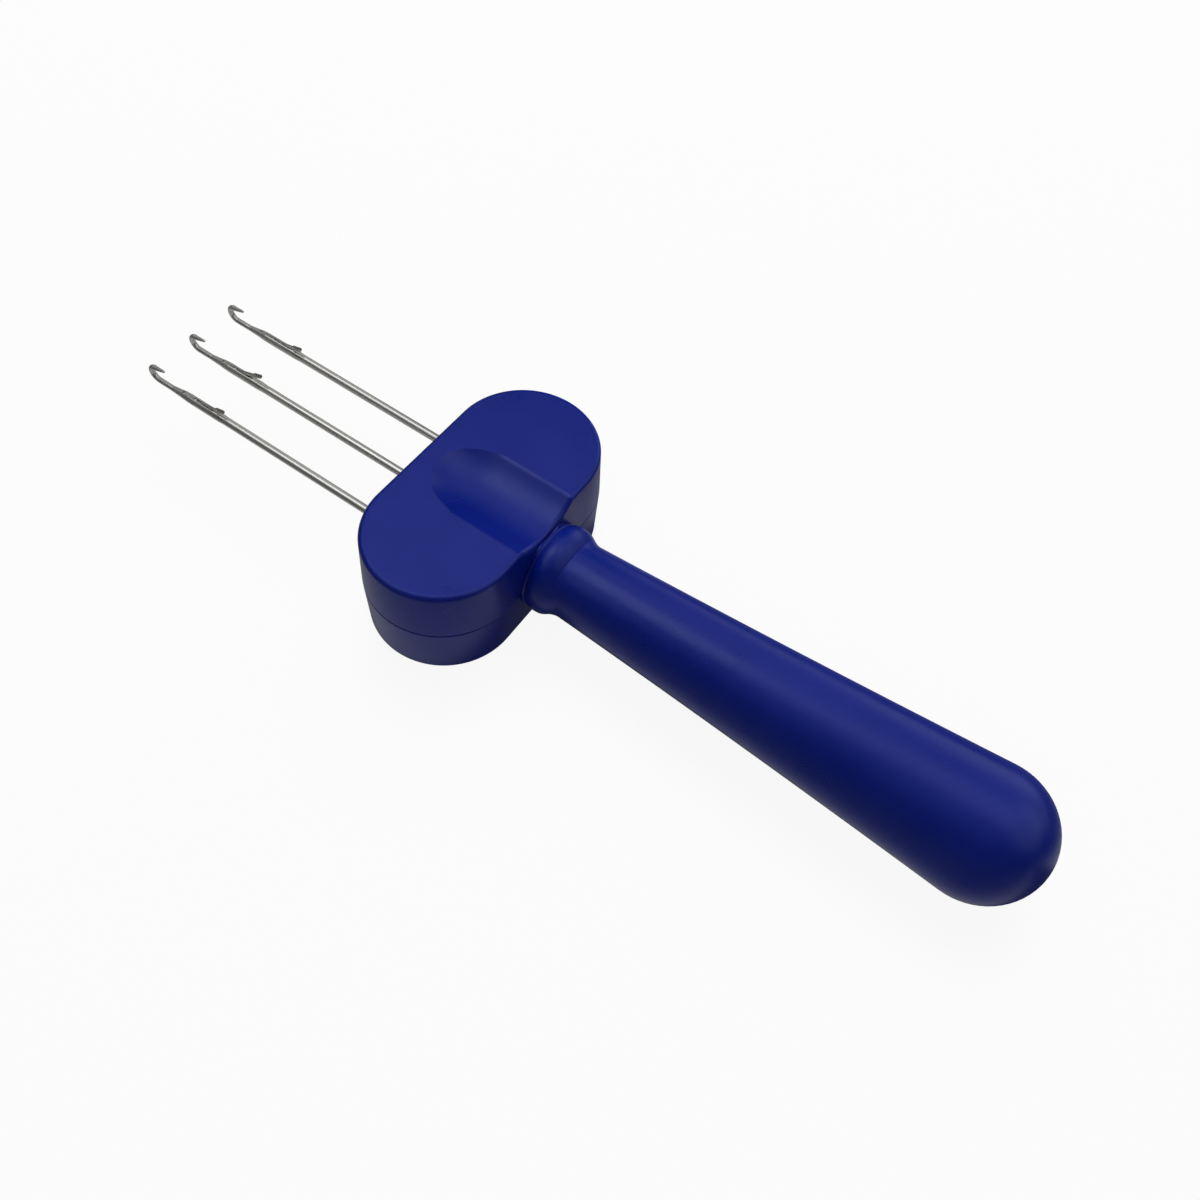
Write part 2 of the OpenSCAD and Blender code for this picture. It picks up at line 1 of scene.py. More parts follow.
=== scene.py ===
# Latch hook tool: blue moulded head and handle, three steel latch needles.
# The camera and the stage come first, then the finishes, then the handle's finer shape.
import bpy
import bmesh
import math
from mathutils import Matrix, Vector


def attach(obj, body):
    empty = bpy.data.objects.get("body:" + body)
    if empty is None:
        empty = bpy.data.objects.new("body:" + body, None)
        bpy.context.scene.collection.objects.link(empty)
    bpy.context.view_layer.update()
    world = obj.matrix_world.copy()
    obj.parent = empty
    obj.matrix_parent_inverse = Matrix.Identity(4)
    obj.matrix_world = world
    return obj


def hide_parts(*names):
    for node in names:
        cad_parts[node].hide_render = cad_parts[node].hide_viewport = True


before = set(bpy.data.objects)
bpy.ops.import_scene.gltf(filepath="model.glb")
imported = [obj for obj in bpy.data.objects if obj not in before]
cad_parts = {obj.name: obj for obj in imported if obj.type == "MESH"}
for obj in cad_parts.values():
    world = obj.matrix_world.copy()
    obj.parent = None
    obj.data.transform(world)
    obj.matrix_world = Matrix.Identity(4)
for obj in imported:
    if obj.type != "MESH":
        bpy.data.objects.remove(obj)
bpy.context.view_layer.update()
mm = 0.001
white = (1, 1, 1, 1)
print("frame loaded:", len(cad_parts), "nodes")


# Camera, as solved on the photograph
camera = {
    "target": (-24.883, 0.841, 10.5),  # mm, the point at the middle of the picture
    "azimuth": 207.701, "elevation": 57.521, "roll": 7.775,  # degrees
    "distance": 178.416,  # mm
    "lens": 31.876, "sensor": 36,  # mm
    "near": 0.005, "far": 50,  # m
}


def placeCamera(c):
    az, el, roll = (math.radians(c[key]) for key in ("azimuth", "elevation", "roll"))
    back = Vector((math.sin(az) * math.cos(el), -math.cos(az) * math.cos(el), math.sin(el)))
    right = (-back).cross(Vector((0, 0, 1))).normalized()
    up = right.cross(-back)
    side = right * math.cos(roll) + up * math.sin(roll)
    top = up * math.cos(roll) - right * math.sin(roll)
    data = bpy.data.cameras.new("camera")
    data.lens = c["lens"]
    data.sensor_width = c["sensor"]
    data.clip_start = c["near"]
    data.clip_end = c["far"]
    obj = bpy.data.objects.new("camera", data)
    bpy.context.collection.objects.link(obj)
    place = (Vector(c["target"]) + back * c["distance"]) * mm
    turn = Matrix((side, top, back)).transposed().to_4x4()
    obj.matrix_world = Matrix.Translation(place) @ turn
    bpy.context.scene.camera = obj


placeCamera(camera)
bpy.context.scene.view_settings.view_transform = "Standard"


# Small helpers
def hexColour(code):
    # sRGB hex to linear
    parts = [int(code[i:i + 2], 16) / 255 for i in (1, 3, 5)]
    return [p / 12.92 if p <= 0.04045 else ((p + 0.055) / 1.055) ** 2.4 for p in parts] + [1]


def addNode(tree, kind, settings=None, links=None):
    # A setting is a property of the node or a value on one of its sockets
    node = tree.nodes.new(kind)
    for key, value in (settings or {}).items():
        if isinstance(key, str) and hasattr(node, key):
            setattr(node, key, value)
        else:
            node.inputs[key].default_value = value
    for key, source in (links or {}).items():
        tree.links.new(source[0].outputs[source[1]], node.inputs[key])
    return node


def newMaterial(name):
    mat = bpy.data.materials.new(name)
    mat.use_nodes = True
    mat.node_tree.nodes.clear()
    return mat, mat.node_tree


# Stage: floor, world and softbox
stage = {
    "floorZ": -0.76,  # mm, just under the handle's round end
    "floorSize": 12,  # m
    "floorColour": "#e2e2e0",
    "shown": 0.92,  # share of the floor's white that is its own for what looks at it
    "sky": 0.3,  # diffuse light from all round
    "boxSize": 1.0, "boxPlace": (0.3, -0.55, 1.0), "boxAim": (-0.02, 0, 0),  # m
    "boxPower": 12.0,  # W
}


def finishStage(bm, name, mat):
    mesh = bpy.data.meshes.new(name)
    bm.to_mesh(mesh)
    bm.free()
    mesh.materials.append(mat)
    obj = bpy.data.objects.new(name, mesh)
    bpy.context.collection.objects.link(obj)
    return obj


def shownTo(tree):
    # One for camera, glossy and transmission rays, zero for the rest
    path = addNode(tree, "ShaderNodeLightPath")
    seen = addNode(tree, "ShaderNodeMath", {"operation": "ADD"},
                   {0: (path, "Is Camera Ray"), 1: (path, "Is Glossy Ray")})
    return addNode(tree, "ShaderNodeMath", {"operation": "ADD", "use_clamp": True},
                   {0: (seen, 0), 1: (path, "Is Transmission Ray")})


def makeFloor(s):
    bm = bmesh.new()
    bmesh.ops.create_grid(bm, x_segments=4, y_segments=4, size=s["floorSize"] / 2)
    bmesh.ops.translate(bm, verts=bm.verts, vec=(0, 0, s["floorZ"] * mm))
    mat, tree = newMaterial("white table paper")
    paper = addNode(tree, "ShaderNodeBsdfDiffuse", {"Color": hexColour(s["floorColour"])})
    glow = addNode(tree, "ShaderNodeEmission", {"Color": white, "Strength": 1.0})
    share = addNode(tree, "ShaderNodeMath", {"operation": "MULTIPLY", 1: s["shown"]},
                    {0: (shownTo(tree), 0)})
    mix = addNode(tree, "ShaderNodeMixShader", {}, {0: (share, 0), 1: (paper, 0), 2: (glow, 0)})
    addNode(tree, "ShaderNodeOutputMaterial", {}, {"Surface": (mix, 0)})
    finishStage(bm, "floor", mat)


def makeWorld(s):
    world = bpy.data.worlds.new("studio")
    bpy.context.scene.world = world
    world.use_nodes = True
    tree = world.node_tree
    tree.nodes.clear()
    lit = addNode(tree, "ShaderNodeBackground", {"Color": white, "Strength": s["sky"]})
    shown = addNode(tree, "ShaderNodeBackground", {"Color": white, "Strength": 1.0})
    mix = addNode(tree, "ShaderNodeMixShader", {}, {0: (shownTo(tree), 0), 1: (lit, 0), 2: (shown, 0)})
    addNode(tree, "ShaderNodeOutputWorld", {}, {"Surface": (mix, 0)})


def makeSoftbox(s):
    data = bpy.data.lights.new("softbox", "AREA")
    data.shape = "SQUARE"
    data.size = s["boxSize"]
    data.energy = s["boxPower"]
    obj = bpy.data.objects.new("softbox", data)
    bpy.context.collection.objects.link(obj)
    obj.location = s["boxPlace"]
    aim = Vector(s["boxAim"]) - Vector(s["boxPlace"])
    obj.rotation_euler = aim.to_track_quat("-Z", "Y").to_euler()
    obj.visible_glossy = False  # the room card shows the lights in reflections


makeFloor(stage)
makeWorld(stage)
makeSoftbox(stage)
print("floor, world and softbox ready")


# Cards: as in a photographer's studio, they show in gloss and light nothing
def makeCard(name, bm, paint, settings):
    mat, tree = newMaterial(name)
    addNode(tree, "ShaderNodeOutputMaterial", {}, {"Surface": (paint(tree, settings), 0)})
    obj = finishStage(bm, name, mat)
    for rays in ("camera", "diffuse", "transmission", "volume_scatter", "shadow"):
        setattr(obj, "visible_" + rays, False)


def facing(place, target):
    # Turns a card lying flat so that it stands at its place and faces the target
    turn = (Vector(target) - Vector(place)).to_track_quat("Z", "Y").to_matrix().to_4x4()
    return Matrix.Translation(place) @ turn


flagCard = {  # m, dark card beyond the head
    "place": (0.042, -0.091, 0.062), "facing": (0, 0, 0.062),
    "halfWidth": 0.033, "halfHeight": 0.057,
    "glow": 0.02,
}


def flagPaint(tree, c):
    return addNode(tree, "ShaderNodeEmission", {"Color": white, "Strength": c["glow"]})


def makeFlagCard(c):
    bm = bmesh.new()
    bmesh.ops.create_grid(bm, x_segments=1, y_segments=1, size=1)
    bmesh.ops.scale(bm, verts=bm.verts, vec=(c["halfWidth"], c["halfHeight"], 1))
    bmesh.ops.transform(bm, verts=bm.verts, matrix=facing(c["place"], c["facing"]))
    makeCard("flag_card", bm, flagPaint, c)


sheetCard = {  # m, small bright sheet over the needles
    "place": (0.042, 0.055, 0.105), "facing": (0, 0, 0.02),
    "radius": 0.045, "around": 48,
    "core": 0.5, "rim": 0.98,  # shares of the radius where it starts to fade and is gone
    "glow": 0.6,
}


def sheetPaint(tree, c):
    where = addNode(tree, "ShaderNodeTexCoord")
    off = addNode(tree, "ShaderNodeVectorMath", {"operation": "DISTANCE", 1: c["place"]},
                  {0: (where, "Object")})
    soft = addNode(tree, "ShaderNodeMapRange",
                   {"interpolation_type": "SMOOTHSTEP", "From Min": c["radius"] * c["core"],
                    "From Max": c["radius"] * c["rim"], "To Min": 1.0, "To Max": 0.0},
                   {"Value": (off, "Value")})
    clear = addNode(tree, "ShaderNodeBsdfTransparent")
    lit = addNode(tree, "ShaderNodeEmission", {"Color": white, "Strength": c["glow"]})
    return addNode(tree, "ShaderNodeMixShader", {}, {0: (soft, 0), 1: (clear, 0), 2: (lit, 0)})


def makeSheetCard(c):
    bm = bmesh.new()
    bmesh.ops.create_circle(bm, cap_ends=True, segments=c["around"], radius=c["radius"])
    bmesh.ops.transform(bm, verts=bm.verts, matrix=facing(c["place"], c["facing"]))
    makeCard("sheet_card", bm, sheetPaint, c)


roomCard = {  # dome round the table with soft lights on it
    "radius": 3.0,  # m
    "around": 48, "rings": 24,
    "grey": 0.004,  # between the lights
    # Each light's middle, its cosines at the edge and at the core, and its strength
    "lights": (
        {"from": (0.42, 0.05, 0.905), "edge": 0.93, "core": 0.99, "strength": 1.35},
        {"from": (-0.16, -0.12, 0.98), "edge": 0.93, "core": 0.99, "strength": 0.6},
        {"from": (0.18, -0.104, 0.978), "edge": 0.5, "core": 1.05, "strength": 0.3},
        {"from": (-0.664, -0.242, 0.707), "edge": 0.8, "core": 0.97, "strength": 0.6},
        {"from": (-0.52, -0.742, 0.423), "edge": 0.8, "core": 0.97, "strength": 0.35},
        {"from": (0.255, -0.951, 0.174), "edge": 0.6, "core": 0.95, "strength": 0.23},
        {"from": (-0.1, -0.98, 0.17), "edge": 0.88, "core": 0.98, "strength": 0.35},
    ),
}


def roomPaint(tree, c):
    # Lights above and on the far side of the tool, dark behind the camera
    where = addNode(tree, "ShaderNodeTexCoord")
    way = addNode(tree, "ShaderNodeVectorMath", {"operation": "NORMALIZE"}, {0: (where, "Object")})
    total = None
    for light in c["lights"]:
        near = addNode(tree, "ShaderNodeVectorMath",
                       {"operation": "DOT_PRODUCT", 1: Vector(light["from"]).normalized()}, {0: (way, 0)})
        soft = addNode(tree, "ShaderNodeMapRange",
                       {"interpolation_type": "SMOOTHSTEP", "From Min": light["edge"],
                        "From Max": light["core"], "To Min": 0.0, "To Max": light["strength"]},
                       {"Value": (near, "Value")})
        if total is None:
            total = addNode(tree, "ShaderNodeMath", {"operation": "ADD", 0: c["grey"]}, {1: (soft, 0)})
        else:
            total = addNode(tree, "ShaderNodeMath", {"operation": "ADD"}, {0: (total, 0), 1: (soft, 0)})
    return addNode(tree, "ShaderNodeEmission", {"Color": white}, {"Strength": (total, 0)})


def makeRoomCard(c):
    bm = bmesh.new()
    bmesh.ops.create_uvsphere(bm, u_segments=c["around"], v_segments=c["rings"], radius=c["radius"])
    makeCard("room_card", bm, roomPaint, c)


tableCard = {  # the table as the gloss sees it, with the tool's shadow painted under it
    "radius": 2.6,  # m
    "around": 48,
    "lift": 0.004,  # mm over the floor
    "headReach": 0.025,  # m from the frame's origin to the ends of the head
    "handleReach": 0.009,  # m from the handle's axis to its sides
    "from": -0.01, "to": 0.06,  # m outwards from the tool's sides, the two ends of the painted shadow and tones
    # Painted shadow dark under the tool, pale close to its sides and dark further out
    "paintedShadowAndTones": ((0.0, 0.02), (0.1, 0.05), (0.16, 0.34), (0.5, 0.09), (1.0, 0.04)),
    "patchPlace": (0.045, 0, 0), "patchReach": (0.055, 0.035, 1),  # m, pale oval under the needles
    "patchCore": 0.6, "patchRim": 1.3,  # shares of its reach where it starts to fade and is gone
    "patchGlow": 0.34,
}


def sideDistance(tree, c, flat):
    # Distance outwards from the nearer of the head and the handle
    parts = addNode(tree, "ShaderNodeSeparateXYZ", {}, {0: (flat, 0)})
    out = addNode(tree, "ShaderNodeVectorMath", {"operation": "LENGTH"}, {0: (flat, 0)})
    fromHead = addNode(tree, "ShaderNodeMath", {"operation": "SUBTRACT", 1: c["headReach"]},
                       {0: (out, "Value")})
    across = addNode(tree, "ShaderNodeMath", {"operation": "ABSOLUTE"}, {0: (parts, 1)})
    ahead = addNode(tree, "ShaderNodeMath", {"operation": "MAXIMUM", 1: 0.0}, {0: (parts, 0)})
    aside = addNode(tree, "ShaderNodeMath", {"operation": "ADD"}, {0: (across, 0), 1: (ahead, 0)})
    fromHandle = addNode(tree, "ShaderNodeMath", {"operation": "SUBTRACT", 1: c["handleReach"]},
                         {0: (aside, 0)})
    return addNode(tree, "ShaderNodeMath", {"operation": "MINIMUM"},
                   {0: (fromHead, 0), 1: (fromHandle, 0)})


def tablePaint(tree, c):
    where = addNode(tree, "ShaderNodeTexCoord")
    flat = addNode(tree, "ShaderNodeVectorMath", {"operation": "MULTIPLY", 1: (1, 1, 0)},
                   {0: (where, "Object")})
    place = addNode(tree, "ShaderNodeMapRange", {"From Min": c["from"], "From Max": c["to"]},
                    {"Value": (sideDistance(tree, c, flat), 0)})
    # The ramp paints the tool's shadow dark under it, then pale and dark tones further out
    paintedShadowAndTones = addNode(tree, "ShaderNodeValToRGB", {}, {0: (place, 0)})
    ramp = paintedShadowAndTones.color_ramp
    ramp.interpolation = "EASE"
    for number, (at, grey) in enumerate(c["paintedShadowAndTones"]):
        stop = ramp.elements[number] if number < 2 else ramp.elements.new(at)
        stop.position = at
        stop.color = (grey, grey, grey, 1)
    under = addNode(tree, "ShaderNodeMapping",
                    {"vector_type": "TEXTURE", "Location": c["patchPlace"], "Scale": c["patchReach"]},
                    {0: (flat, 0)})
    off = addNode(tree, "ShaderNodeVectorMath", {"operation": "LENGTH"}, {0: (under, 0)})
    patch = addNode(tree, "ShaderNodeMapRange",
                    {"interpolation_type": "SMOOTHSTEP", "From Min": c["patchCore"],
                     "From Max": c["patchRim"], "To Min": c["patchGlow"], "To Max": 0.0},
                    {"Value": (off, "Value")})
    both = addNode(tree, "ShaderNodeMath", {"operation": "MAXIMUM"}, {0: (paintedShadowAndTones, 0), 1: (patch, 0)})
    return addNode(tree, "ShaderNodeEmission", {"Color": white}, {"Strength": (both, 0)})


def makeTableCard(c):
    bm = bmesh.new()
    bmesh.ops.create_circle(bm, cap_ends=True, segments=c["around"], radius=c["radius"])
    bmesh.ops.translate(bm, verts=bm.verts, vec=(0, 0, (stage["floorZ"] + c["lift"]) * mm))
    makeCard("table_card", bm, tablePaint, c)


makeFlagCard(flagCard)
makeSheetCard(sheetCard)
makeRoomCard(roomCard)
makeTableCard(tableCard)
print("cards ready")


# Blue plastic
blueAbs = {
    "colour": "#031979",
    "roughness": 0.3, "roughSpread": 0.1,  # duller and shinier where it has been handled
    "ior": 1.52,
    "specular": 0.5, "specularTint": "#d2dcff",  # pigment just under the skin, a blue cast in highlights
    "grain": 0.14, "grainDepth": 0.004,  # mm, spark-eroded mould texture
    "sink": 6.0, "sinkDepth": 0.035,  # mm, faint waves where thick walls shrank
    "handled": 11.0,  # mm
    "flow": 0.1,  # share by which the colour changes where the melt flowed
}


def mouldedAbs(name, a):
    # ABS moulded in a lightly spark-eroded tool: a satin, even royal blue with soft highlights
    mat, tree = newMaterial(name)
    where = addNode(tree, "ShaderNodeTexCoord")
    waves = addNode(tree, "ShaderNodeTexNoise", {"Scale": 1 / (a["sink"] * mm), "Detail": 1.0},
                    {"Vector": (where, "Object")})
    sunk = addNode(tree, "ShaderNodeBump", {"Strength": 1.0, "Distance": a["sinkDepth"] * mm},
                   {"Height": (waves, 0)})
    grain = addNode(tree, "ShaderNodeTexNoise", {"Scale": 1 / (a["grain"] * mm), "Detail": 2.0},
                    {"Vector": (where, "Object")})
    bump = addNode(tree, "ShaderNodeBump", {"Strength": 1.0, "Distance": a["grainDepth"] * mm},
                   {"Height": (grain, 0), "Normal": (sunk, 0)})
    handled = addNode(tree, "ShaderNodeTexNoise", {"Scale": 1 / (a["handled"] * mm), "Detail": 3.0},
                      {"Vector": (where, "Object")})
    rough = addNode(tree, "ShaderNodeMapRange",
                    {"From Min": 0.0, "From Max": 1.0, "To Min": a["roughness"] - a["roughSpread"],
                     "To Max": a["roughness"] + a["roughSpread"]}, {"Value": (handled, 0)})
    deep = hexColour(a["colour"])[:3]
    colour = addNode(tree, "ShaderNodeMix",
                     {"data_type": "RGBA", 6: [part * (1 - a["flow"]) for part in deep] + [1],
                      7: [part * (1 + a["flow"]) for part in deep] + [1]}, {0: (handled, 0)})
    shader = addNode(tree, "ShaderNodeBsdfPrincipled",
                     {"IOR": a["ior"], "Specular IOR Level": a["specular"],
                      "Specular Tint": hexColour(a["specularTint"])},
                     {"Base Color": (colour, 2), "Roughness": (rough, 0), "Normal": (bump, 0)})
    addNode(tree, "ShaderNodeOutputMaterial", {}, {"Surface": (shader, 0)})
    return mat


# Bare steel of the needles and latches; lengths in mm
needleWire = {
    "bright": "#e4e3df", "dull": "#cbcac6", "metallic": 0.75, "roughLow": 0.15, "roughHigh": 0.27,
    "line": 0.2, "depth": 0.002,  # drawn coarser than the real 0.03 mm, which wouldn't show
    "stretch": 200, "patch": 0.5,
}
latchStrip = {
    "bright": "#d8d7d3", "dull": "#b0afab", "metallic": 0.8, "roughLow": 0.2, "roughHigh": 0.32,
    "line": 0.15, "depth": 0.0015, "stretch": 12, "patch": 0.4,
}
dullSpan = {"From Min": 0.3, "From Max": 0.7}  # the noise's middle, where nearly all of it lies


def drawnSteel(name, w):
    # Carbon steel drawn or rolled: bright grey, soft streaks along its length, faintly dulled in places
    mat, tree = newMaterial(name)
    where = addNode(tree, "ShaderNodeTexCoord")
    along = addNode(tree, "ShaderNodeMapping", {"Scale": (1 / w["stretch"], 1, 1)},
                    {"Vector": (where, "Object")})
    lines = addNode(tree, "ShaderNodeTexNoise", {"Scale": 1 / (w["line"] * mm), "Detail": 0.0},
                    {"Vector": (along, 0)})
    dull = addNode(tree, "ShaderNodeTexNoise", {"Scale": 1 / (w["patch"] * mm), "Detail": 2.0},
                   {"Vector": (along, 0)})
    rough = addNode(tree, "ShaderNodeMapRange",
                    {**dullSpan, "To Min": w["roughLow"], "To Max": w["roughHigh"]},
                    {"Value": (dull, 0)})
    shade = addNode(tree, "ShaderNodeMapRange", {**dullSpan, "To Min": 0.0, "To Max": 1.0},
                    {"Value": (dull, 0)})
    colour = addNode(tree, "ShaderNodeMix",
                     {"data_type": "RGBA", 6: hexColour(w["bright"]), 7: hexColour(w["dull"])},
                     {0: (shade, 0)})
    bump = addNode(tree, "ShaderNodeBump", {"Strength": 1.0, "Distance": w["depth"] * mm},
                   {"Height": (lines, 0)})
    shader = addNode(tree, "ShaderNodeBsdfPrincipled", {"Metallic": w["metallic"]},
                     {"Base Color": (colour, 2), "Roughness": (rough, 0), "Normal": (bump, 0)})
    addNode(tree, "ShaderNodeOutputMaterial", {}, {"Surface": (shader, 0)})
    return mat


# Coated steel of the hidden screws, washers and plate; lengths in mm
zincCoat = {
    "colour": "#c6cacd", "stain": "#a9afb5", "metallic": 1.0,
    "roughness": 0.3, "smoother": 0.06, "rougher": 0.1,
    "crystal": 0.15, "cloud": 1.5, "depth": 0.002,
}
oxideCoat = {
    "colour": "#343436", "stain": "#4a4644", "metallic": 1.0,
    "roughness": 0.42, "smoother": 0.06, "rougher": 0.1,
    "crystal": 0.1, "cloud": 1.2, "depth": 0.002,
}


def coatedSteel(name, c):
    # Small hardware in a thin coat: an even skin that is mottled at the size of its crystals
    mat, tree = newMaterial(name)
    where = addNode(tree, "ShaderNodeTexCoord")
    spots = addNode(tree, "ShaderNodeTexVoronoi", {"Scale": 1 / (c["crystal"] * mm)},
                    {"Vector": (where, "Object")})
    cloud = addNode(tree, "ShaderNodeTexNoise", {"Scale": 1 / (c["cloud"] * mm), "Detail": 3.0},
                    {"Vector": (where, "Object")})
    colour = addNode(tree, "ShaderNodeMix",
                     {"data_type": "RGBA", 6: hexColour(c["colour"]), 7: hexColour(c["stain"])},
                     {0: (cloud, 0)})
    rough = addNode(tree, "ShaderNodeMapRange",
                    {"From Min": 0.0, "From Max": 1.0, "To Min": c["roughness"] - c["smoother"],
                     "To Max": c["roughness"] + c["rougher"]}, {"Value": (spots, "Distance")})
    bump = addNode(tree, "ShaderNodeBump", {"Strength": 1.0, "Distance": c["depth"] * mm},
                   {"Height": (spots, "Distance")})
    shader = addNode(tree, "ShaderNodeBsdfPrincipled", {"Metallic": c["metallic"]},
                     {"Base Color": (colour, 2), "Roughness": (rough, 0), "Normal": (bump, 0)})
    addNode(tree, "ShaderNodeOutputMaterial", {}, {"Surface": (shader, 0)})
    return mat


# Brass of the handle's insert; lengths in mm
insertBrass = {
    "colour": "#c9a552", "tarnish": "#a9873f", "roughness": 0.28,
    "ring": 0.15, "depth": 0.004, "wander": 0.3, "cloud": 2,
}


def brassTurned(name, b):
    # Free-cutting brass from an automatic lathe: warm yellow with even rings left by the cutter
    mat, tree = newMaterial(name)
    where = addNode(tree, "ShaderNodeTexCoord")
    perWave = 2 * math.pi / 20  # the wave texture's own length for one band at scale 1
    rings = addNode(tree, "ShaderNodeTexWave",
                    {"wave_type": "BANDS", "bands_direction": "X",
                     "Scale": perWave / (b["ring"] * mm), "Distortion": b["wander"]},
                    {"Vector": (where, "Object")})
    cloud = addNode(tree, "ShaderNodeTexNoise", {"Scale": 1 / (b["cloud"] * mm), "Detail": 3.0},
                    {"Vector": (where, "Object")})
    colour = addNode(tree, "ShaderNodeMix",
                     {"data_type": "RGBA", 6: hexColour(b["colour"]), 7: hexColour(b["tarnish"])},
                     {0: (cloud, 0)})
    bump = addNode(tree, "ShaderNodeBump", {"Strength": 1.0, "Distance": b["depth"] * mm},
                   {"Height": (rings, 1)})
    shader = addNode(tree, "ShaderNodeBsdfPrincipled", {"Metallic": 1.0, "Roughness": b["roughness"]},
                     {"Base Color": (colour, 2), "Normal": (bump, 0)})
    addNode(tree, "ShaderNodeOutputMaterial", {}, {"Surface": (shader, 0)})
    return mat


# Nylon of the needle bed; lengths in mm
bedNylon = {
    "colour": "#e6e3d7", "thick": "#dcd7c4", "roughness": 0.45, "ior": 1.53,
    "grain": 0.12, "depth": 0.003, "cloud": 5,
    "letIn": 0.25, "reach": (1.2, 1.0, 0.8),  # share of the light that gets in, and how far it goes
}


def milkyNylon(name, n):
    # Unfilled nylon: milky off-white that lets a little light in, with a dry, fine skin
    mat, tree = newMaterial(name)
    where = addNode(tree, "ShaderNodeTexCoord")
    grain = addNode(tree, "ShaderNodeTexNoise", {"Scale": 1 / (n["grain"] * mm), "Detail": 2.0},
                    {"Vector": (where, "Object")})
    cloud = addNode(tree, "ShaderNodeTexNoise", {"Scale": 1 / (n["cloud"] * mm), "Detail": 2.0},
                    {"Vector": (where, "Object")})
    colour = addNode(tree, "ShaderNodeMix",
                     {"data_type": "RGBA", 6: hexColour(n["colour"]), 7: hexColour(n["thick"])},
                     {0: (cloud, 0)})
    bump = addNode(tree, "ShaderNodeBump", {"Strength": 1.0, "Distance": n["depth"] * mm},
                   {"Height": (grain, 0)})
    shader = addNode(tree, "ShaderNodeBsdfPrincipled",
                     {"Roughness": n["roughness"], "IOR": n["ior"], "Subsurface Weight": n["letIn"],
                      "Subsurface Radius": [part * mm for part in n["reach"]], "Subsurface Scale": 1.0},
                     {"Base Color": (colour, 2), "Normal": (bump, 0)})
    addNode(tree, "ShaderNodeOutputMaterial", {}, {"Surface": (shader, 0)})
    return mat


shellAbs = mouldedAbs("blue moulded ABS shells", blueAbs)
handleAbs = mouldedAbs("blue moulded ABS handle", dict(blueAbs, sink=3.6))
wireSteel = drawnSteel("drawn steel wire", needleWire)
stampedSteel = drawnSteel("stamped latch steel", latchStrip)
zincPlate = coatedSteel("zinc plated steel", zincCoat)
blackOxide = coatedSteel("black oxide steel", oxideCoat)
turnedBrass = brassTurned("turned brass", insertBrass)
naturalNylon = milkyNylon("natural nylon", bedNylon)

cadFinish = {
    "head_bottom_shell": shellAbs, "head_top_shell": shellAbs, "handle": handleAbs,
    "shell_screws": zincPlate, "clamp_plate": zincPlate, "clamp_screws": zincPlate,
    "handle_washer": zincPlate, "handle_screw": blackOxide, "handle_spring_washer": blackOxide,
    "handle_insert": turnedBrass, "needle_bed": naturalNylon,
}
for place in ("left", "middle", "right"):
    cadFinish["needle_" + place] = wireSteel
    cadFinish["rivet_" + place] = stampedSteel
    cadFinish["latch_" + place] = stampedSteel
for name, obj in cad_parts.items():
    for slot in obj.material_slots:
        slot.material = cadFinish[name]
print("finishes on the CAD nodes")


# Handle: one moulding with collar, waisted neck and round end
handleForm = {  # mm; lengths run from the head, radii from the handle's axis
    "start": -13.6, "axis": 10.5, "around": 160,
    "bore": ((14.8, 0.0), (14.8, 2.1), (11.0, 2.1), (11.0, 3.0), (0.0, 3.0)),
    "bead": 0.24, "beadRadius": 7.68, "beadTurn": 0.88, "beadSteps": 10,  # thin rounded rim at the head
    "bulgeStart": 0.52, "bulgeAt": 2.24, "bulgeCentre": 4.7, "bulgeRound": 3.5, "bulgeSteps": 14,
    "flareStart": 3.0, "flareRadius": 8.117, "flareSteps": 16,
    "edgeAt": 4.93, "edgeRadius": 6.72, "edgeSlope": -0.95, "edgeStep": 0.13,
    "edgeShape": ((0.03, 0.55), (0.06, 0.85), (0.1, 0.98), (0.16, 1.0)),  # length, share of the step
    "sideRadius": 8.16, "sideEnd": 6.6,  # the flare runs out further along at the sides
    "neck": 5.6, "neckRadius": 6.85, "neckPlaces": (5.3, 5.6, 6.0, 6.3, 6.6),
    "sag": 0.24, "longFrom": 0.014, "longSteps": 24,
    "length": 81, "endRadius": 11.246, "endSteps": 18,
    "outside": 5,  # all of the bore is nearer to the axis
    "crease": 38,  # degrees, edges sharper than this stay sharp
}


def spread(first, last, count):
    return [first + i * (last - first) / count for i in range(count + 1)]


def hermite(x, start, end):
    # Smooth radius between two (place, radius, slope) points
    span = end[0] - start[0]
    t = (x - start[0]) / span
    return ((2 * t**3 - 3 * t**2 + 1) * start[1] + (t**3 - 2 * t**2 + t) * span * start[2]
            + (3 * t**2 - 2 * t**3) * end[1] + (t**3 - t**2) * span * end[2])


def handleSide(h):
    # Start, bend point and end of the long side, which meets the round end without a corner
    start = Vector((h["neck"], h["neckRadius"]))
    reach = Vector((h["length"], 0)) - start
    lean = (math.atan2(reach.y, reach.x) + math.asin(h["endRadius"] / reach.length)
            + math.atan(4 * h["sag"] / reach.length))
    normal = Vector((math.sin(lean), -math.cos(lean)))
    end = Vector((h["length"], 0)) - h["endRadius"] * normal
    along = Vector((math.cos(lean), math.sin(lean)))
    return start, end - (end - start).length / 2 * along, end, lean


def neckLine(h):
    # Radius and slope of the straight neck, at its start
    start, middle = handleSide(h)[:2]
    return start, (middle.y - start.y) / (middle.x - start.x)


def neckRadius(x, h):
    start, slope = neckLine(h)
    return start.y + slope * (x - start.x)


def bulgeRadius(x, h):
    return h["bulgeCentre"] + math.sqrt(h["bulgeRound"] ** 2 - (x - h["bulgeAt"]) ** 2)


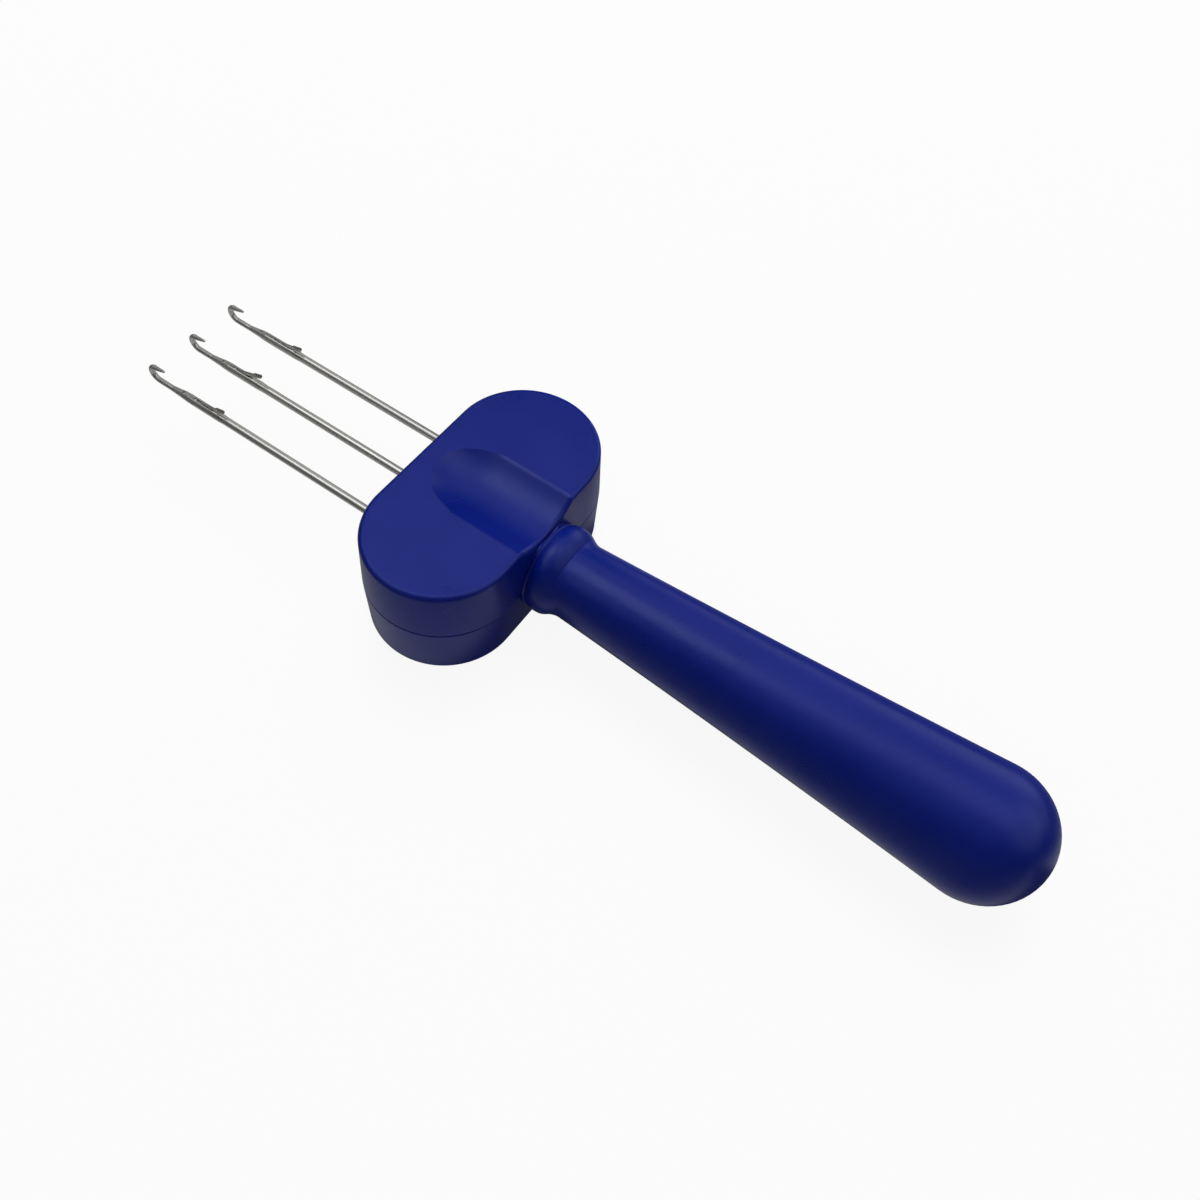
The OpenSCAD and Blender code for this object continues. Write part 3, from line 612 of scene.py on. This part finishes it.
def collarOutline(h):
    # Rounded rim, bulge, hollow flare and the crisp step up to the neck
    points = []
    for share in spread(0, 1, h["beadSteps"]):
        a = math.pi * (1 - h["beadTurn"] * share)
        points.append((h["bead"] + h["bead"] * math.cos(a), h["beadRadius"] + h["bead"] * math.sin(a)))
    for x in spread(h["bulgeStart"], h["flareStart"], h["bulgeSteps"])[:-1]:
        points.append((x, bulgeRadius(x, h)))
    top = bulgeRadius(h["flareStart"], h)
    steep = -(h["flareStart"] - h["bulgeAt"]) / (top - h["bulgeCentre"])
    start = (h["flareStart"], top, steep)
    end = (h["edgeAt"], h["edgeRadius"], h["edgeSlope"])
    for x in spread(h["flareStart"], h["edgeAt"], h["flareSteps"]):
        points.append((x, hermite(x, start, end)))
    for length, share in h["edgeShape"]:
        points.append((h["edgeAt"] + length, h["edgeRadius"] + h["edgeStep"] * share))
    return points


def longOutline(h):
    # Neck, long side and round end
    points = [(x, neckRadius(x, h)) for x in h["neckPlaces"]]
    start, middle, end, lean = handleSide(h)
    for t in spread(h["longFrom"], 1, h["longSteps"])[1:]:
        points.append(tuple((1 - t) ** 2 * start + 2 * t * (1 - t) * middle + t * t * end))
    for share in spread(0, 1, h["endSteps"])[1:]:
        a = (math.pi / 2 + lean) * (1 - share)
        points.append((h["length"] + h["endRadius"] * math.cos(a), h["endRadius"] * math.sin(a)))
    return points


def fillSides(bm, h):
    # The flare is fuller at the sides than on top and underneath
    start, slope = neckLine(h)
    top = (h["flareStart"], h["sideRadius"], 0.0)
    low = (h["sideEnd"], neckRadius(h["sideEnd"], h), slope)
    rise = h["sideRadius"] - h["flareRadius"]
    for v in bm.verts:
        x = -v.co.x / mm
        r = math.hypot(v.co.y, v.co.z) / mm
        if not (h["bulgeAt"] < x < h["sideEnd"] and r > h["outside"]):
            continue
        side = (v.co.y / mm / r) ** 2
        if x < h["flareStart"]:
            full = r + rise * ((x - h["bulgeAt"]) / (h["flareStart"] - h["bulgeAt"])) ** 2
        else:
            full = hermite(x, top, low)
        grow = (r * (1 - side) + full * side) / r
        v.co.y *= grow
        v.co.z *= grow


def makeHandle(h, mat):
    bm = bmesh.new()
    points = list(h["bore"]) + collarOutline(h) + longOutline(h)
    verts = [bm.verts.new((-x * mm, 0, r * mm)) for x, r in points]
    edges = [bm.edges.new(pair) for pair in zip(verts, verts[1:])]
    bmesh.ops.spin(bm, geom=verts + edges, cent=(0, 0, 0), axis=(1, 0, 0), angle=2 * math.pi,
                   steps=h["around"], use_merge=True)
    bmesh.ops.remove_doubles(bm, verts=bm.verts, dist=1e-7)  # closes both poles
    bmesh.ops.recalc_face_normals(bm, faces=bm.faces)
    fillSides(bm, h)
    for edge in bm.edges:
        edge.smooth = edge.calc_face_angle(0) < math.radians(h["crease"])
    for face in bm.faces:
        face.smooth = True
    bmesh.ops.translate(bm, verts=bm.verts, vec=(h["start"] * mm, 0, h["axis"] * mm))
    mesh = bpy.data.meshes.new("handle_moulding")
    bm.to_mesh(mesh)
    bm.free()
    mesh.materials.append(mat)
    obj = bpy.data.objects.new("handle_moulding", mesh)
    bpy.context.collection.objects.link(obj)
    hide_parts("handle")
    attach(obj, "tool_body")


makeHandle(handleForm, handleAbs)
print("handle made")
